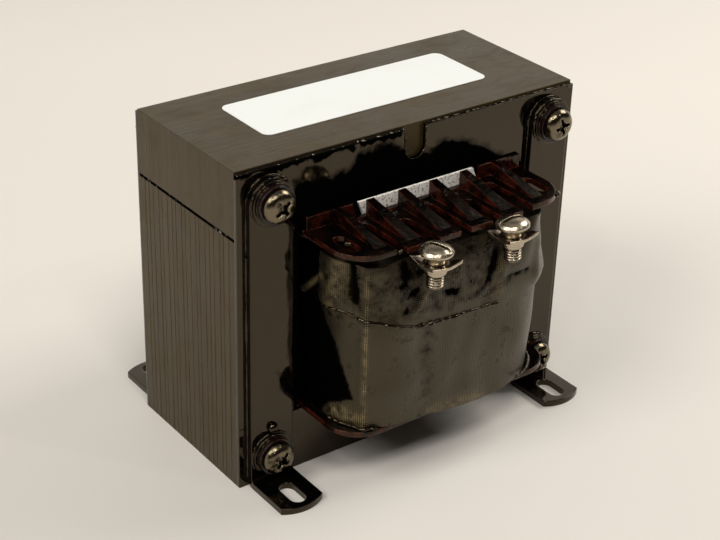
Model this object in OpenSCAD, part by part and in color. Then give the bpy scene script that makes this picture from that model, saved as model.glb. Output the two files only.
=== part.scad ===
// Iron-core choke with an E and I core, a moulded bobbin with a ribbed terminal board,
// a taped coil, four strap feet and two screw terminals.
// Millimetres. X runs across the core, the terminals face -Y, Z is up and the feet stand on Z = 0.

/* [Core] */
// Width of the centre leg of the laminations
leg_w = 38.1; // [36:0.1:40]
// Depth of the whole stack, front to back
stack_d = 50.8; // [46:0.1:60]
// Thickness of the reversed sheets that close the stack at each end
keeper_t = 1.2; // [0.6:0.1:1.6]
// Air gap held open between the E stack and the I stack
gap_h = 0.95; // [0.5:0.05:1.5]
// Width of the round-ended notch in the back of each E
notch_w = 7; // [5:0.5:9]
// Depth of that notch
notch_d = 9.1; // [7:0.1:12]
// Spacing of the lines between bundles of sheets
line_pitch = 2.4; // [1.8:0.1:4]
// Depth of those lines
line_d = 0.1; // [0.05:0.05:0.3]
// Width of those lines
line_w = 0.3; // [0.2:0.05:0.5]
// Seam left where the reversed E sheet meets the I sheet below it
keeper_seam = 0.1; // [0.05:0.05:0.4]

/* [Bobbin] */
// Thickness of the white paper between the centre leg and the bobbin
paper_t = 0.8; // [0.4:0.1:1.2]
// Wall of the bobbin tube
tube_wall = 1.6; // [1:0.1:2.2]
// How far the bobbin sits to the right of the middle
bobbin_x = 0.7; // [0:0.1:0.8]
// Play of the bobbin tube on each side of the centre leg
leg_clear = 0.8; // [0.8:0.1:1]
// Thickness of both flanges
flange_t = 1.5; // [1:0.1:2.2]
// Gap between a centred flange and the outer leg
flange_gap = 0.85; // [0.85:0.05:2]
// Reach of the flanges past the core face
flange_out = 22.4; // [21:0.1:24]
// Corner radius of the flanges
flange_r = 10; // [8:0.5:11]
// How far the terminal board lies below the top of the window
board_drop = 3.15; // [2.6:0.05:3.6]
// How far the two corner tabs stand above the rest of the board
tab_lift = 0.7; // [0:0.1:0.9]
// Height of the barrier ribs and of the end walls
rib_h = 4.6; // [3.8:0.1:5.2]
// Spacing of the bays between the ribs
bay = 10.8; // [10.2:0.1:11]
// Thickness of the four inner barrier ribs
rib_w = 2.4; // [1.6:0.1:2.8]
// Thickness of the rib at each end
end_rib_w = 1.6; // [1.2:0.1:2.4]
// How far a rib widens to its right at the front
rib_flare = 2.1; // [1:0.1:2.4]
// Distance from the front edge of the board to the low end of a rib
rib_stop = 3.4; // [2:0.1:5]
// Width of the slots in the board
slot_w = 3.6; // [2.6:0.1:3.8]
// Length of the two short open slots
slot_short = 14.4; // [12:0.1:16]
// Length of the three long open slots
slot_long = 18; // [16.5:0.1:19]
// Length of the closed slot in each corner tab
tab_slot_l = 9.5; // [7:0.1:10]
// Distance from the front edge of the board to a closed slot
tab_slot_y = 5; // [4.5:0.1:6]
// Thickness of the end walls along the core face
wall_t = 0.8; // [0.6:0.1:1.2]
// Height of the lip that the tube makes in front of the paper
lip_h = 0.6; // [0.2:0.1:1]

/* [Coil] */
// Gap between the finished coil and the outer legs
coil_gap = 3.5; // [2:0.1:5]
// Reach of the finished coil past the core face
coil_out = 24.7; // [24.2:0.1:25]
// Corner radius of the finished coil
coil_r = 17.5; // [14:0.5:18]
// Height over which the front and rear of the coil curve in below the board
crown_h = 17.5; // [14:0.5:20]
// Radius of that curve
crown_r = 36; // [34:0.5:42]
// Gap between the tape and the flange above it
tape_gap = 2; // [1:0.1:2.4]
// Thickness of the tape wrap
wrap_t = 0.8; // [0.5:0.1:1.2]
// How far the wrap is folded in over the top of the winding
tape_fold = 6; // [2:0.5:8]
// Thickness of the extra band of tape round the upper half
band_t = 0.5; // [0.3:0.1:0.6]
// Distance from the board to the lower edge of that band, at the middle
band_h = 22; // [16:0.5:32]
// Slant of that edge in degrees, higher on the left
band_slant = 6.5; // [0:0.5:8]

/* [Strap feet] */
// Width of a strap
strap_w = 13.6; // [13.2:0.1:15]
// Thickness of a strap
strap_t = 1.9; // [1.5:0.1:2.1]
// Inside radius of the bend above the foot
bend_r = 0.9; // [0.5:0.1:1]
// Reach of a foot past the core face
foot_out = 18.9; // [18:0.1:22]
// Height of the shallow arc at the tip of a foot
tip_rise = 2.2; // [1:0.1:3]
// Width of the foot slot
foot_slot_w = 4.8; // [4:0.1:5.6]
// Length of the foot slot, end to end
foot_slot_l = 9.8; // [8:0.1:10.5]
// Distance from the core face to the middle of the foot slot
foot_slot_y = 12; // [11:0.1:12.4]

/* [Core bolts] */
// Radius of the bolts through the core
bolt_r = 2.4; // [2:0.05:2.5]
// Radius of a bolt head
bolt_head_r = 4.75; // [4.4:0.05:5.2]
// Height of a bolt head
bolt_head_h = 2.9; // [2.5:0.1:3.2]
// Radius of a flat washer
flat_washer_r = 6.4; // [6:0.1:6.5]
// Thickness of a flat washer
flat_washer_t = 1.2; // [0.8:0.1:1.6]
// Radius of a fibre washer
fibre_washer_r = 5.5; // [5.2:0.1:5.9]
// Thickness of a fibre washer
fibre_washer_t = 1.5; // [1:0.1:2]
// Wall of the insulating sleeve round each bolt
sleeve_wall = 0.5; // [0.3:0.05:0.8]
// Width of a nut across its flats
nut_w = 9.5; // [9:0.1:10]
// Height of a nut
nut_h = 3.2; // [2.8:0.1:3.6]
// Thread showing past a nut
bolt_tail = 2; // [1:0.5:4]

/* [Terminals] */
// Half the distance between the terminal screws
term_x = 13.2; // [11:0.1:14]
// How far the pair of terminals sits to the left of the middle
term_left = 0.5; // [0:0.1:1]
// Gap between the pressure plates and the tape behind them
plate_gap = 1.1; // [1.1:0.1:1.5]
// Width of a terminal lug
lug_w = 6.6; // [6.2:0.1:7.4]
// Thickness of a terminal lug
lug_t = 1; // [0.8:0.1:1.2]
// Gap between the board and the corners of the pressure plates
plate_clear = 0.4; // [0.4:0.1:1]
// How far the right lug is bent up, in degrees
right_bend = 3.5; // [0:0.5:4]
// How far the right lug is twisted, in degrees
right_twist = 2; // [0:0.5:4]
// Length of lug that lies under the tape
lug_leg = 16; // [10:0.5:20]
// Radius of the threaded collar drawn down from a lug
collar_r = 3; // [2.8:0.1:3]
// Height of that collar
collar_h = 0.8; // [0.5:0.1:1.2]
// Width of the square pressure plate
plate_w = 9.8; // [9.4:0.1:10.4]
// Thickness of the pressure plate
plate_t = 0.9; // [0.6:0.1:1.2]
// How far the corners of the pressure plate turn up
plate_rise = 1.5; // [0.8:0.1:1.8]
// Radius of a terminal screw
term_r = 2.4; // [2:0.05:2.5]
// Radius of a terminal screw head
term_head_r = 4.7; // [4.2:0.05:4.9]
// Height of a terminal screw head
term_head_h = 2.6; // [2.2:0.1:3]
// Length of a terminal screw under its head
term_len = 10; // [9:0.5:12]
// Gap left under the head for a wire
wire_gap = 2.8; // [1.8:0.1:3.2]
// Thread pitch of the terminal screws
pitch = 0.794; // [0.7:0.001:1.06]

/* [Label] */
// Width of the label
label_w = 76.2; // [60:0.1:90]
// Depth of the label
label_d = 23.4; // [15:0.1:30]
// Thickness of the label
label_t = 0.15; // [0.1:0.05:0.3]
// How far the middle of the label lies behind the middle of the core
label_y = 1.5; // [-3:0.1:3]
// Corner radius of the label
label_r = 2.5; // [1:0.1:4]

/* [Hidden] */
$fn = 40;

// Core: every outer size of the laminations follows from the centre leg
core_w = 3 * leg_w;
yoke = leg_w / 2;
e_h = 2 * leg_w;
core_h = e_h + yoke + gap_h;
face_y = stack_d / 2;
pack_y = face_y - keeper_t;
window_top = e_h + gap_h;
keeper_drop = gap_h - keeper_seam;
hole_x = core_w / 2 - yoke / 2;
hole_low = yoke / 2;
hole_high = core_h - yoke / 2;
sleeve_r = bolt_r + sleeve_wall;

// Bobbin
tube_ix = leg_w / 2 + leg_clear;
tube_iy = face_y + paper_t;
tube_ox = tube_ix + tube_wall;
tube_oy = tube_iy + tube_wall;
collar_clear = 0.25;
collar_top = window_top - keeper_drop - collar_clear;
board_top = window_top - board_drop;
board_z = board_top - flange_t;
coil_z = yoke + flange_t;
flange_hw = leg_w - flange_gap;
board_y = face_y + flange_out;
wall_gap = 0.2;
rib_top = board_top + rib_h;
paper_z = yoke + 0.3;
paper_top = rib_top - 0.2;
paper_skew = 1.7;
wall_in = tube_ix + paper_skew + 0.1;
wall_out = flange_hw - 0.4;

// Coil
coil_hw = leg_w - coil_gap;
coil_y = face_y + coil_out;
tape_top = board_z - tape_gap;
crown_z = board_z - crown_h;
crown_steps = 7;
band_z = board_z - band_h;

// How far the front of the coil, less the inset, lies from the middle at height z
function coil_reach(z, inset) =
    coil_y - crown_r + sqrt(pow(crown_r - inset, 2) - pow(max(z - crown_z, 0), 2));

// Terminals
lug_top = board_z - plate_clear - plate_t - plate_rise;
lug_z = lug_top - lug_t;
lug_cover = 0.3;
lug_back = coil_reach(lug_top, band_t + wrap_t) - lug_cover;
bend_clear = 0.4;
function term_at(side) = side * term_x - term_left;
bend_y = coil_reach(lug_z - collar_h, 0) + bend_clear;
term_y = coil_reach(lug_top, 0) + plate_gap + plate_w / 2;
plate_front = term_y + plate_w / 2;
head_z = plate_t + wire_gap;
thread_d = 0.45;
plate_hole = term_r + 0.15;
plate_flat = 3.6;
plate_corner = plate_w / 2 * sqrt(2);

// Core bolts
strap_y = face_y + strap_t;
flat_y = strap_y + flat_washer_t;
fibre_y = flat_y + fibre_washer_t;
bolt_hole = bolt_r + 0.2;
tip_r = (strap_w * strap_w / 4 + tip_rise * tip_rise) / (2 * tip_rise);

// The middle of the whole outline front to back, from the pressure plates to the rear of the coil
shift_y = (plate_front - coil_y) / 2;

steel = [0.10, 0.09, 0.08];
black = [0.04, 0.04, 0.04];
moulding = [0.20, 0.05, 0.03];
bright = [0.75, 0.72, 0.66];
fibre = [0.35, 0.10, 0.06];

// A block centred on X and Y that starts at height z
module block(w, d, z0, z1) {
    translate([-w / 2, -d / 2, z0]) cube([w, d, z1 - z0]);
}

// A cylinder along Y from y0 to y1
module rod_y(r, y0, y1) {
    translate([0, y0, 0]) rotate([-90, 0, 0]) cylinder(r = r, h = y1 - y0);
}

module at_holes() {
    for (sx = [-1, 1])
        for (z = [hole_low, hole_high])
            translate([sx * hole_x, 0, z]) children();
}

// One flat rounded outline, with half sizes hw and hd
module rounded(hw, hd, r) {
    square([2 * (hw - r), 2 * hd], center = true);
    square([2 * hw, 2 * (hd - r)], center = true);
    for (sx = [-1, 1])
        for (sy = [-1, 1])
            translate([sx * (hw - r), sy * (hd - r)]) circle(r = r);
}

// An E with its back down and its bolt holes at height hole, between y0 and y1
module e_form(hole, y0, y1) {
    d = y1 - y0;
    difference() {
        translate([0, y0 + d / 2, 0]) union() {
            block(core_w, d, 0, yoke);
            block(leg_w, d, 0, e_h);
            for (sx = [-1, 1])
                translate([sx * (core_w - yoke) / 2, 0, 0]) block(yoke, d, 0, e_h);
        }
        translate([-notch_w / 2, y0 - 1, -1]) cube([notch_w, d + 2, notch_d - notch_w / 2 + 1]);
        translate([0, 0, notch_d - notch_w / 2]) rod_y(notch_w / 2, y0 - 1, y1 + 1);
        for (sx = [-1, 1])
            translate([sx * hole_x, 0, hole]) rod_y(sleeve_r, y0 - 1, y1 + 1);
    }
}

// An I lying flat, between y0 and y1
module i_form(y0, y1) {
    d = y1 - y0;
    difference() {
        translate([0, y0 + d / 2, 0]) block(core_w, d, 0, yoke);
        for (sx = [-1, 1])
            translate([sx * hole_x, 0, hole_low]) rod_y(sleeve_r, y0 - 1, y1 + 1);
    }
}

line_count = floor((2 * pack_y - 1.2) / line_pitch);
function line_y(i) = (i - (line_count - 1) / 2) * line_pitch + 0.35 * sin(i * 137);

// Fine lines between the bundles of sheets are cut into both side faces
module e_stack() {
    color(steel) difference() {
        e_form(hole_low, -pack_y, pack_y);
        for (i = [0 : line_count - 1])
            for (sx = [-1, 1])
                translate([sx * core_w / 2, line_y(i), 0]) block(2 * line_d, line_w, -1, e_h + 1);
    }
}

module i_stack() {
    color(steel) translate([0, 0, window_top]) i_form(-pack_y, pack_y);
}

module gap_pad(x, w) {
    color(black) translate([x, 0, 0]) block(w, 2 * pack_y, e_h, window_top);
}

module gap_pad_left() {
    gap_pad(-(core_w - yoke) / 2, yoke);
}

module gap_pad_centre() {
    gap_pad(0, leg_w);
}

module gap_pad_right() {
    gap_pad((core_w - yoke) / 2, yoke);
}

// The reversed E sheet, whose legs close on the I sheet, so that its back stands below the I stack
module keeper_e(y0, y1) {
    color(steel) translate([0, 0, core_h - keeper_drop]) mirror([0, 0, 1])
        e_form(hole_low - keeper_drop, y0, y1);
}

module keeper_e_front() {
    keeper_e(-face_y, -pack_y);
}

module keeper_e_rear() {
    keeper_e(pack_y, face_y);
}

module keeper_i_front() {
    color(steel) i_form(-face_y, -pack_y);
}

module keeper_i_rear() {
    color(steel) i_form(pack_y, face_y);
}

module bolt_sleeves() {
    color(moulding) at_holes() difference() {
        rod_y(sleeve_r, -face_y, face_y);
        rod_y(bolt_r, -face_y - 1, face_y + 1);
    }
}

// A slot along Y with round ends, from y0 to y1
module slot_cut(w, y0, y1, z0, z1) {
    translate([0, (y0 + y1) / 2, 0]) block(w, y1 - y0 - w, z0, z1);
    for (y = [y0 + w / 2, y1 - w / 2])
        translate([0, y, z0]) cylinder(r = w / 2, h = z1 - z0);
}

// A wedge rib: tall and thin against the core, flared and level with the board at the front
module rib(w) {
    front = board_y - rib_stop;
    sunk = board_top - flange_t / 2;
    intersection() {
        translate([-bay / 2, 0, 0]) rotate([90, 0, 90]) linear_extrude(bay)
            polygon([[-tube_iy, sunk], [-tube_iy, rib_top], [-front, board_top], [-front, sunk]]);
        translate([0, 0, sunk]) linear_extrude(rib_h + flange_t)
            polygon([
                [-w / 2, -tube_iy + 1], [w / 2, -tube_iy + 1],
                [w / 2 + rib_flare, -front - 1], [-w / 2, -front - 1]
            ]);
    }
}

// The board as one flat plate with its ribs and slots
module board() {
    difference() {
        union() {
            translate([0, 0, board_z]) linear_extrude(flange_t) rounded(flange_hw, board_y, flange_r);
            for (i = [-5 : 2 : 5])
                translate([i * bay / 2, 0, 0]) rib(abs(i) == 5 ? end_rib_w : rib_w);
        }
        for (i = [-2 : 2])
            translate([i * bay, 0, 0])
                slot_cut(slot_w, -board_y - slot_w, -board_y + (abs(i) == 1 ? slot_short : slot_long),
                    board_z - 1, board_top + 1);
        for (sx = [-1, 1])
            translate([sx * 3 * bay, 0, 0])
                slot_cut(slot_w, -board_y + tab_slot_y, -board_y + tab_slot_y + tab_slot_l,
                    board_z - 1, board_top + 1);
    }
}

// The room of the two corner tabs, up to height z1
module tab_zones(z1) {
    for (sx = [-1, 1])
        translate([sx * (2 * bay + flange_hw), -face_y - board_y, 0])
            block(2 * flange_hw, 2 * board_y, board_z - 1, z1);
}

module bobbin() {
    color(moulding) translate([bobbin_x, 0, 0]) difference() {
        union() {
            block(2 * tube_ox, 2 * tube_oy, yoke, board_top);
            translate([0, -tube_iy - tube_wall / 2, 0])
                block(2 * tube_ox, tube_wall, board_z, board_top + lip_h);
            translate([0, 0, yoke]) linear_extrude(flange_t) rounded(flange_hw, board_y, flange_r);
            difference() {
                board();
                tab_zones(rib_top + 1);
            }
            translate([0, 0, tab_lift]) intersection() {
                board();
                tab_zones(rib_top - tab_lift);
            }
            block(2 * tube_ox, 2 * (face_y - wall_gap), board_z, collar_top);
            for (sx = [-1, 1])
                translate([sx * (wall_in + wall_out) / 2, -face_y - wall_gap - wall_t / 2, 0])
                    block(wall_out - wall_in, wall_t, board_z, rib_top);
        }
        block(2 * tube_ix, 2 * tube_iy, yoke - 1, rib_top + 1);
    }
}

// A sheet along the leg, its end above the board folded a little askew
module leg_paper(side) {
    color([0.85, 0.84, 0.80]) translate([bobbin_x, side * (face_y + paper_t / 2), 0])
        rotate([90, 0, 0]) linear_extrude(paper_t, center = true) {
            translate([-tube_ix, paper_z]) square([2 * tube_ix, board_top - paper_z]);
            polygon([
                [paper_skew - tube_ix, board_top], [tube_ix + paper_skew, board_top],
                [tube_ix, paper_top], [-tube_ix, paper_top]
            ]);
        }
}

module leg_paper_front() {
    leg_paper(-1);
}

module leg_paper_rear() {
    leg_paper(1);
}

// The coil as far in as the given inset, between heights z0 and z1
module coil_form(inset, z0, z1) {
    rise = [for (i = [0 : crown_steps]) crown_z + i * (crown_h + 1) / crown_steps];
    front = [for (z = rise) [coil_reach(z, inset), z]];
    rear = [for (i = [crown_steps : -1 : 0]) [-coil_reach(rise[i], inset), rise[i]]];
    intersection() {
        translate([0, 0, z0]) linear_extrude(z1 - z0)
            rounded(coil_hw - inset, coil_y - inset, coil_r - inset);
        translate([-coil_hw, 0, 0]) rotate([90, 0, 90]) linear_extrude(2 * coil_hw)
            polygon(concat([[inset - coil_y, 0], [coil_y - inset, 0]], front, rear));
    }
}

// The leg of a lug inside the coil, and its tongue as far out as the bend
module lug_root() {
    translate([0, -lug_back + lug_t / 2, 0]) block(lug_w, lug_t, lug_top - lug_leg, lug_top);
    translate([0, -(bend_y + lug_back - lug_t) / 2, 0])
        block(lug_w, bend_y - lug_back + lug_t, lug_z, lug_top);
}

module lug_slits() {
    for (side = [-1, 1])
        translate([term_at(side), 0, 0]) lug_root();
}

// The frame of a terminal: the screw's axis and the top of the lug, as bent and twisted
module at_terminal(side) {
    lean = side > 0 ? [-right_bend, -right_twist, 0] : [0, 0, 0];
    translate([term_at(side), -bend_y, lug_z]) rotate(lean)
        translate([0, bend_y - term_y, lug_t]) children();
}

module winding() {
    color([0.45, 0.20, 0.08]) difference() {
        coil_form(band_t + wrap_t, coil_z, tape_top - wrap_t);
        translate([bobbin_x, 0, 0]) block(2 * tube_ox, 2 * tube_oy, 0, core_h);
        lug_slits();
    }
}

module coil_wrap() {
    color(black) difference() {
        coil_form(band_t, coil_z, tape_top);
        coil_form(band_t + wrap_t, coil_z - 1, tape_top - wrap_t);
        coil_form(band_t + wrap_t + tape_fold, coil_z, tape_top + 1);
        lug_slits();
    }
}

module coil_band() {
    color(black) difference() {
        coil_form(0, coil_z, tape_top);
        coil_form(band_t, coil_z - 1, tape_top + 1);
        translate([0, 0, band_z]) rotate([0, band_slant, 0]) block(4 * coil_hw, 3 * coil_y, -core_h, 0);
        lug_slits();
    }
}

module terminal_lug(side) {
    reach = term_y - bend_y + bend_clear / 2;
    color(bright) difference() {
        union() {
            translate([term_at(side), 0, 0]) lug_root();
            at_terminal(side) {
                translate([0, reach / 2, 0]) block(lug_w, reach, -lug_t, 0);
                translate([0, 0, -lug_t]) cylinder(r = lug_w / 2, h = lug_t);
                translate([0, 0, -lug_t - collar_h]) cylinder(r = collar_r, h = collar_h + lug_t / 2);
            }
        }
        at_terminal(side) translate([0, 0, -term_len]) cylinder(r = term_r, h = term_len + 1);
    }
}

module terminal_lug_left() {
    terminal_lug(-1);
}

module terminal_lug_right() {
    terminal_lug(1);
}

// A square plate, flat round its hole and dished so that the corners stand up
module pressure_plates() {
    edge = plate_corner + 0.5;
    rise = plate_rise * (edge - plate_flat) / (plate_corner - plate_flat);
    color(bright) for (side = [-1, 1])
        at_terminal(side) intersection() {
            rotate_extrude() polygon([
                [plate_hole, 0], [plate_flat, 0], [edge, rise],
                [edge, rise + plate_t], [plate_flat, plate_t], [plate_hole, plate_t]
            ]);
            block(plate_w, plate_w, -1, rise + plate_t + 1);
        }
}

thread_turns = floor((term_len - wire_gap - plate_t - lug_t - collar_h) / pitch);

// A slotted screw with a low domed head, its visible thread cut as close rings
module terminal_screw(turn) {
    difference() {
        union() {
            rotate_extrude() polygon([
                [0, 0], [term_head_r - 0.2, 0], [term_head_r, 0.25], [term_head_r, 0.8],
                [term_head_r - 0.5, 1.5], [term_head_r - 1.4, 2.15], [term_head_r - 2.6, 2.45],
                [1.2, term_head_h], [0, term_head_h]
            ]);
            translate([0, 0, -term_len]) cylinder(r = term_r, h = term_len + 0.1);
        }
        rotate([0, 0, turn]) block(3 * term_head_r, 1.25, term_head_h - 1.2, term_head_h + 1);
        for (i = [0 : thread_turns - 1])
            translate([0, 0, -term_len + (i + 0.6) * pitch]) rotate_extrude() polygon([
                [term_r - thread_d, 0], [term_r + 0.1, -0.45 * pitch], [term_r + 0.1, 0.45 * pitch]
            ]);
        translate([0, 0, -term_len]) rotate_extrude() polygon([
            [term_r - 0.6, -0.1], [term_r + 0.2, -0.1], [term_r + 0.2, 0.7]
        ]);
    }
}

module terminal_screws() {
    color(bright) {
        at_terminal(-1) translate([0, 0, head_z]) terminal_screw(-68);
        at_terminal(1) translate([0, 0, head_z]) terminal_screw(0);
    }
}

// A strap with its back on y = 0, both holes on x = 0 and its foot towards -Y
module bracket() {
    out_r = bend_r + strap_t;
    color(black) difference() {
        union() {
            translate([0, -strap_t / 2, 0]) block(strap_w, strap_t, out_r, hole_high);
            translate([0, 0, hole_high]) rod_y(strap_w / 2, -strap_t, 0);
            intersection() {
                translate([-strap_w / 2, -out_r, out_r]) rotate([0, 90, 0]) difference() {
                    cylinder(r = out_r, h = strap_w);
                    translate([0, 0, -1]) cylinder(r = bend_r, h = strap_w + 2);
                }
                translate([0, -out_r / 2, 0]) block(strap_w + 1, out_r, 0, out_r);
            }
            intersection() {
                translate([0, -(out_r + foot_out) / 2, 0]) block(strap_w, foot_out - out_r, 0, strap_t);
                union() {
                    translate([0, tip_r - foot_out, 0]) cylinder(r = tip_r, h = strap_t);
                    translate([0, -(foot_out - tip_rise) / 2, 0])
                        block(strap_w + 1, foot_out - tip_rise, 0, strap_t);
                }
            }
        }
        for (z = [hole_low, hole_high])
            translate([0, 0, z]) rod_y(bolt_hole, -strap_t - 1, 1);
        slot_cut(foot_slot_w, -foot_slot_y - foot_slot_l / 2, -foot_slot_y + foot_slot_l / 2, -1, strap_t + 1);
    }
}

module bracket_front_left() {
    translate([-hole_x, -face_y, 0]) bracket();
}

module bracket_front_right() {
    translate([hole_x, -face_y, 0]) bracket();
}

module bracket_rear_left() {
    translate([-hole_x, face_y, 0]) mirror([0, 1, 0]) bracket();
}

module bracket_rear_right() {
    translate([hole_x, face_y, 0]) mirror([0, 1, 0]) bracket();
}

module washer_pair(r, y0, y1) {
    at_holes() for (side = [0, 1])
        mirror([0, side, 0]) difference() {
            rod_y(r, -y1, -y0);
            rod_y(bolt_hole, -y1 - 1, -y0 + 1);
        }
}

module flat_washers() {
    color(black) washer_pair(flat_washer_r, strap_y, flat_y);
}

module fibre_washers() {
    color(fibre) washer_pair(fibre_washer_r, flat_y, fibre_y);
}

// A pan head with a cross recess, its underside on z = 0
module pan_head(turn) {
    difference() {
        rotate_extrude() polygon([
            [0, -0.1], [bolt_r, -0.1], [bolt_r, 0], [bolt_head_r - 0.15, 0], [bolt_head_r, 0.3],
            [bolt_head_r - 0.05, 1.1], [bolt_head_r - 0.6, 1.95], [bolt_head_r - 1.6, 2.55],
            [bolt_head_r - 2.9, bolt_head_h - 0.05], [0, bolt_head_h]
        ]);
        rotate([0, 0, turn]) {
            block(5.2, 1.15, bolt_head_h - 1.7, bolt_head_h + 1);
            block(1.15, 5.2, bolt_head_h - 1.7, bolt_head_h + 1);
        }
        translate([0, 0, bolt_head_h - 2]) cylinder(r1 = 0.5, r2 = 1.5, h = 2.1);
    }
}

module core_bolts() {
    turns = [38, 12, 52, 24];
    color(bright) for (i = [0 : 3])
        translate([(i % 2 == 0 ? -1 : 1) * hole_x, 0, i < 2 ? hole_high : hole_low]) union() {
            translate([0, -fibre_y, 0]) rotate([90, 0, 0]) pan_head(turns[i]);
            rod_y(bolt_r, -fibre_y, fibre_y + nut_h + bolt_tail);
        }
}

module core_nuts() {
    color(bright) at_holes() translate([0, fibre_y, 0]) rotate([-90, 0, 0]) difference() {
        cylinder(r = nut_w / sqrt(3), h = nut_h, $fn = 6);
        translate([0, 0, -1]) cylinder(r = bolt_r, h = nut_h + 2);
    }
}

module label() {
    color([0.93, 0.93, 0.91]) translate([0, label_y, core_h]) linear_extrude(label_t)
        rounded(label_w / 2, label_d / 2, label_r);
}

translate([0, shift_y, 0]) {
    e_stack();
    i_stack();
    gap_pad_left();
    gap_pad_centre();
    gap_pad_right();
    keeper_e_front();
    keeper_i_front();
    keeper_e_rear();
    keeper_i_rear();
    bolt_sleeves();
    bobbin();
    leg_paper_front();
    leg_paper_rear();
    winding();
    coil_wrap();
    coil_band();
    terminal_lug_left();
    terminal_lug_right();
    pressure_plates();
    terminal_screws();
    bracket_front_left();
    bracket_front_right();
    bracket_rear_left();
    bracket_rear_right();
    flat_washers();
    fibre_washers();
    core_bolts();
    core_nuts();
    label();
}
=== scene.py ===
import math

import bpy
from mathutils import Matrix, Vector, noise


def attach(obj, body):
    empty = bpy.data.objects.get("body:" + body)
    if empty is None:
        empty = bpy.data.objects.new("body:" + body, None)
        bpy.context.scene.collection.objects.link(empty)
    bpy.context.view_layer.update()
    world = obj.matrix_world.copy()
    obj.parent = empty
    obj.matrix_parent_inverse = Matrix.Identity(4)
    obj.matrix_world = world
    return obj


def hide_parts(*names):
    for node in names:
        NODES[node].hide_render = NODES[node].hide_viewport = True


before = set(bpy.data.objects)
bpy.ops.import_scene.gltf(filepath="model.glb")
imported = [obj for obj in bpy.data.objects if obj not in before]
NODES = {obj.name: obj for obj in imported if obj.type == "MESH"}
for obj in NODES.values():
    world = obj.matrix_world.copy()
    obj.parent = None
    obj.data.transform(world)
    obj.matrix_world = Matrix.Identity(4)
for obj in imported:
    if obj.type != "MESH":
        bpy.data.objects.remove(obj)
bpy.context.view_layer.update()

MM = 0.001

# The part's own measures in millimetres, most of them by the names in its source. X runs across
# the core and the terminals face -Y. The frame's middle lies SHIFT_Y in front of the core's.
SHIFT_Y = 3.881

# The core
LEG_W = 38.1
STACK_D = 50.8
GAP_H = 0.95
KEEPER_T = 1.2
KEEPER_SEAM = 0.1
NOTCH_W = 7.0
NOTCH_D = 9.1
LINE_COUNT = 19
LINE_PITCH = 2.4
LINE_W = 0.3
LINE_JITTER = 0.35
LINE_TURN = 137
CORE_W = 3 * LEG_W
CORE_H = 2.5 * LEG_W + GAP_H
E_H = 2 * LEG_W
FACE_Y = STACK_D / 2
PACK_Y = FACE_Y - KEEPER_T
LEDGE_Z = 2.5 * LEG_W + KEEPER_SEAM
NOTCH_R = NOTCH_W / 2
NOTCH_Z = LEDGE_Z - NOTCH_D + NOTCH_R

# The straps and washers at the core's corners
HOLE_X = 1.25 * LEG_W
STRAP_W = 13.6
STRAP_T = 1.9
STRAP_LOW = 3.0
HOLE_LOW = LEG_W / 4
HOLE_HIGH = CORE_H - LEG_W / 4
FLAT_WASHER_R = 6.4
FLAT_WASHER_T = 1.2
FIBRE_WASHER_R = 5.5

# The coil and its tape
COIL_HW = 34.6
COIL_Y = 50.1
COIL_R = 17.5
CROWN_R = 36.0
CROWN_Z = 55.0
COIL_BOTTOM = 20.6
TAPE_TOP = 70.5
WRAP_T = 0.8
BAND_T = 0.5
TAPE_FOLD = (0.4, 1.5, 3.5, 6.0)


# The camera, as solved from the core's corners in the photo
CAMERA_AT = Vector((-0.25705, -0.337609, 0.27291))
CAMERA_AZIMUTH = math.radians(-37.16)
CAMERA_ELEVATION = math.radians(28.56)
CAMERA_ROLL = math.radians(1.69)
FOCAL_PX = 1649.4
PHOTO_W = 720
SENSOR = 36.0


def make_camera():
    data = bpy.data.cameras.new("camera")
    data.sensor_width = SENSOR
    data.lens = FOCAL_PX * SENSOR / PHOTO_W
    data.clip_start = 0.01
    data.clip_end = 20
    cam = bpy.data.objects.new("camera", data)
    bpy.context.scene.collection.objects.link(cam)
    back = Vector((
        math.sin(CAMERA_AZIMUTH) * math.cos(CAMERA_ELEVATION),
        -math.cos(CAMERA_AZIMUTH) * math.cos(CAMERA_ELEVATION),
        math.sin(CAMERA_ELEVATION),
    ))
    level = (-back).cross(Vector((0, 0, 1))).normalized()
    upright = level.cross(-back)
    right = math.cos(CAMERA_ROLL) * level + math.sin(CAMERA_ROLL) * upright
    up = -math.sin(CAMERA_ROLL) * level + math.cos(CAMERA_ROLL) * upright
    turn = Matrix((right, up, back)).transposed()
    cam.matrix_world = Matrix.Translation(CAMERA_AT) @ turn.to_4x4()
    bpy.context.scene.camera = cam


# The colour sockets of a Mix node
MIX_A = 6
MIX_B = 7
MIX_RESULT = 2


def share(value, reach):
    """How far along a reach of (low, high) the value lies, from 0 to 1."""
    low, high = reach
    return (value - low) / (high - low)


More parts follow.
